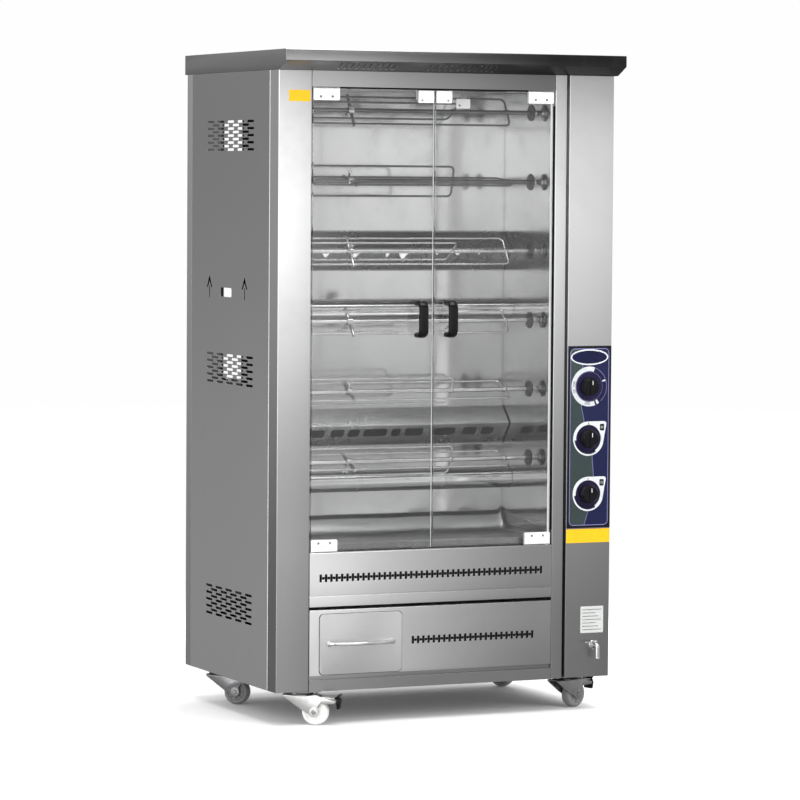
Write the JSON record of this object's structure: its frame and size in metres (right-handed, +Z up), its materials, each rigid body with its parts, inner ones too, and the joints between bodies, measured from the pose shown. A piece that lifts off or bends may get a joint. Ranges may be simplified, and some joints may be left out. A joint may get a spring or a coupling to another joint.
{
  "type": "rotisserie oven",
  "caption": "Floor-standing gas rotisserie oven cabinet on castors, with frameless glass doors, driven spits with sliding clamps, rear burners, control knobs, fat drawer and drain tap.",
  "frame": {"origin": "middle of the whole object's footprint, on the floor", "axes": "+Z up, the doors face -Y, +X to the right of someone facing the doors, where the control column is"},
  "size_m": [1.012, 0.733, 1.805],
  "materials": {
    "brushed_steel": "brushed stainless sheet",
    "polished_steel": "bright annealed stainless, nearly mirror",
    "spit_steel": "bright drawn stainless rod",
    "burner_steel": "heat-tinted stainless",
    "tempered_glass": "clear, polished edges",
    "black_plastic": "moulded black, satin gloss",
    "hinge_zinc": "bright plated",
    "chrome": "mirror chrome",
    "panel_print": "printed film, navy and grey-green",
    "brass": "turned brass",
    "motor_paint": "grey hammer paint",
    "castor_zinc": "bright zinc plate",
    "castor_nylon": "white nylon",
    "yellow_label": "blank yellow film",
    "pale_label": "blank pale plate"
  },
  "bodies": {
    "root": {"base_chassis": "brushed_steel", "left_side_panel": "brushed_steel", "right_side_panel": "brushed_steel", "rear_cover": "brushed_steel", "left_front_pillar": "brushed_steel", "right_front_post": "brushed_steel", "control_column_front": "brushed_steel", "canopy": "brushed_steel", "vent_fascia": "brushed_steel", "lower_front_panel": "brushed_steel", "chamber_left_wall": "polished_steel", "chamber_right_wall": "polished_steel", "chamber_back_wall": "polished_steel", "chamber_roof": "polished_steel", "drip_tray": "polished_steel", "lower_burner_tube": "burner_steel", "lower_burner_hood": "burner_steel", "upper_burner_tube": "burner_steel", "upper_burner_hood": "burner_steel", "drive_chain": "burner_steel", "control_panel_plate": "panel_print", "gas_manifold": "brass", "drive_motor": "motor_paint", "drain_tap_body": "chrome"},
    "left_door": {"left_door_glass": "tempered_glass", "left_door_handle": "black_plastic", "left_door_upper_hinge": "hinge_zinc", "left_door_lower_hinge": "hinge_zinc"},
    "right_door": {"right_door_glass": "tempered_glass", "right_door_handle": "black_plastic", "right_door_upper_hinge": "hinge_zinc", "right_door_lower_hinge": "hinge_zinc"},
    "spit_body_1": {"spit_1": "spit_steel"},
    "clamp_body_1": {"spit_clamp_1": "spit_steel"},
    "spit_body_2": {"spit_2": "spit_steel"},
    "clamp_body_2": {"spit_clamp_2": "spit_steel"},
    "spit_body_3": {"spit_3": "spit_steel"},
    "clamp_body_3": {"spit_clamp_3": "spit_steel"},
    "spit_body_4": {"spit_4": "spit_steel"},
    "clamp_body_4": {"spit_clamp_4": "spit_steel"},
    "spit_body_5": {"spit_5": "spit_steel"},
    "clamp_body_5": {"spit_clamp_5": "spit_steel"},
    "spit_body_6": {"spit_6": "spit_steel"},
    "clamp_body_6": {"spit_clamp_6": "spit_steel"},
    "lower_knob_body": {"lower_knob": "black_plastic"},
    "middle_knob_body": {"middle_knob": "black_plastic"},
    "upper_knob_body": {"upper_knob": "black_plastic"},
    "tap_lever_body": {"drain_tap_lever": "chrome"},
    "drawer_body": {"fat_drawer": "brushed_steel", "fat_drawer_handle": "chrome"},
    "front_left_castor": {"front_left_castor_fork": "castor_zinc"},
    "front_left_wheel": {"front_left_castor_wheel": "castor_nylon"},
    "front_left_brake": {"front_left_castor_brake": "black_plastic"},
    "front_right_castor": {"front_right_castor_fork": "castor_zinc"},
    "front_right_wheel": {"front_right_castor_wheel": "castor_nylon"},
    "front_right_brake": {"front_right_castor_brake": "black_plastic"},
    "rear_left_castor": {"rear_left_castor_fork": "castor_zinc"},
    "rear_left_wheel": {"rear_left_castor_wheel": "castor_nylon"},
    "rear_right_castor": {"rear_right_castor_fork": "castor_zinc"},
    "rear_right_wheel": {"rear_right_castor_wheel": "castor_nylon"}
  },
  "joints": [
    {"name": "left_door_hinge", "type": "hinge", "parent": "root", "child": "left_door", "pos_m": [-0.396, -0.3085, 1.085], "axis": [0, 0, -1], "range_deg": [0, 110]},
    {"name": "right_door_hinge", "type": "hinge", "parent": "root", "child": "right_door", "pos_m": [0.301, -0.3085, 1.085], "axis": [0, 0, 1], "range_deg": [0, 110]},
    {"name": "spit_spin_1", "type": "hinge", "parent": "root", "child": "spit_body_1", "pos_m": [-0.006, -0.1325, 0.691], "axis": [1, 0, 0], "continuous": true},
    {"name": "spit_spin_2", "type": "hinge", "parent": "root", "child": "spit_body_2", "pos_m": [-0.006, -0.1325, 0.8828], "axis": [1, 0, 0], "continuous": true},
    {"name": "spit_spin_3", "type": "hinge", "parent": "root", "child": "spit_body_3", "pos_m": [-0.006, -0.1325, 1.0746], "axis": [1, 0, 0], "continuous": true},
    {"name": "spit_spin_4", "type": "hinge", "parent": "root", "child": "spit_body_4", "pos_m": [-0.006, -0.1325, 1.2664], "axis": [1, 0, 0], "continuous": true},
    {"name": "spit_spin_5", "type": "hinge", "parent": "root", "child": "spit_body_5", "pos_m": [-0.006, -0.1325, 1.4582], "axis": [1, 0, 0], "continuous": true},
    {"name": "spit_spin_6", "type": "hinge", "parent": "root", "child": "spit_body_6", "pos_m": [-0.006, -0.1325, 1.65], "axis": [1, 0, 0], "continuous": true},
    {"name": "clamp_slide_1", "type": "slide", "parent": "spit_body_1", "child": "clamp_body_1", "axis": [1, 0, 0], "range_m": [-0.15, 0.25]},
    {"name": "clamp_slide_2", "type": "slide", "parent": "spit_body_2", "child": "clamp_body_2", "axis": [1, 0, 0], "range_m": [-0.15, 0.25]},
    {"name": "clamp_slide_3", "type": "slide", "parent": "spit_body_3", "child": "clamp_body_3", "axis": [1, 0, 0], "range_m": [-0.15, 0.25]},
    {"name": "clamp_slide_4", "type": "slide", "parent": "spit_body_4", "child": "clamp_body_4", "axis": [1, 0, 0], "range_m": [-0.15, 0.25]},
    {"name": "clamp_slide_5", "type": "slide", "parent": "spit_body_5", "child": "clamp_body_5", "axis": [1, 0, 0], "range_m": [-0.15, 0.25]},
    {"name": "clamp_slide_6", "type": "slide", "parent": "spit_body_6", "child": "clamp_body_6", "axis": [1, 0, 0], "range_m": [-0.15, 0.25]},
    {"name": "lower_knob_turn", "type": "hinge", "parent": "root", "child": "lower_knob_body", "pos_m": [0.424, -0.3315, 0.6], "axis": [0, -1, 0], "range_deg": [0, 180]},
    {"name": "middle_knob_turn", "type": "hinge", "parent": "root", "child": "middle_knob_body", "pos_m": [0.424, -0.3315, 0.753], "axis": [0, -1, 0], "range_deg": [0, 180]},
    {"name": "upper_knob_turn", "type": "hinge", "parent": "root", "child": "upper_knob_body", "pos_m": [0.424, -0.3315, 0.897], "axis": [0, -1, 0], "range_deg": [0, 300]},
    {"name": "tap_lever_turn", "type": "hinge", "parent": "root", "child": "tap_lever_body", "pos_m": [0.445, -0.3345, 0.191], "axis": [0, 0, 1], "range_deg": [0, 90]},
    {"name": "drawer_slide", "type": "slide", "parent": "root", "child": "drawer_body", "axis": [0, -1, 0], "range_m": [0, 0.34]},
    {"name": "front_left_swivel", "type": "hinge", "parent": "root", "child": "front_left_castor", "pos_m": [-0.414, -0.2815, 0.085], "axis": [0, 0, 1], "continuous": true},
    {"name": "front_left_wheel_roll", "type": "hinge", "parent": "front_left_castor", "child": "front_left_wheel", "pos_m": [-0.38489, -0.30593, 0.036], "axis": [0.6428, 0.766, 0], "continuous": true},
    {"name": "front_left_brake_press", "type": "hinge", "parent": "front_left_castor", "child": "front_left_brake", "pos_m": [-0.39791, -0.295, 0.076], "axis": [0.6428, 0.766, 0], "range_deg": [0, 3.3]},
    {"name": "front_right_swivel", "type": "hinge", "parent": "root", "child": "front_right_castor", "pos_m": [0.388, -0.2565, 0.085], "axis": [0, 0, 1], "continuous": true},
    {"name": "front_right_wheel_roll", "type": "hinge", "parent": "front_right_castor", "child": "front_right_wheel", "pos_m": [0.42323, -0.24227, 0.036], "axis": [-0.3746, 0.9272, 0], "continuous": true},
    {"name": "front_right_brake_press", "type": "hinge", "parent": "front_right_castor", "child": "front_right_brake", "pos_m": [0.40747, -0.24863, 0.076], "axis": [-0.3746, 0.9272, 0], "range_deg": [0, 3.3]},
    {"name": "rear_left_swivel", "type": "hinge", "parent": "root", "child": "rear_left_castor", "pos_m": [-0.454, 0.1735, 0.085], "axis": [0, 0, 1], "continuous": true},
    {"name": "rear_left_wheel_roll", "type": "hinge", "parent": "rear_left_castor", "child": "rear_left_wheel", "pos_m": [-0.42713, 0.14663, 0.036], "axis": [0.7071, 0.7071, 0], "continuous": true},
    {"name": "rear_right_swivel", "type": "hinge", "parent": "root", "child": "rear_right_castor", "pos_m": [0.404, 0.2425, 0.085], "axis": [0, 0, 1], "continuous": true},
    {"name": "rear_right_wheel_roll", "type": "hinge", "parent": "rear_right_castor", "child": "rear_right_wheel", "pos_m": [0.42525, 0.211, 0.036], "axis": [0.829, 0.5592, 0], "continuous": true}
  ],
  "couplings": [
    {"joint": "spit_spin_2", "follows": "spit_spin_1", "ratio": 1},
    {"joint": "spit_spin_3", "follows": "spit_spin_1", "ratio": 1},
    {"joint": "spit_spin_4", "follows": "spit_spin_1", "ratio": 1},
    {"joint": "spit_spin_5", "follows": "spit_spin_1", "ratio": 1},
    {"joint": "spit_spin_6", "follows": "spit_spin_1", "ratio": 1}
  ]
}
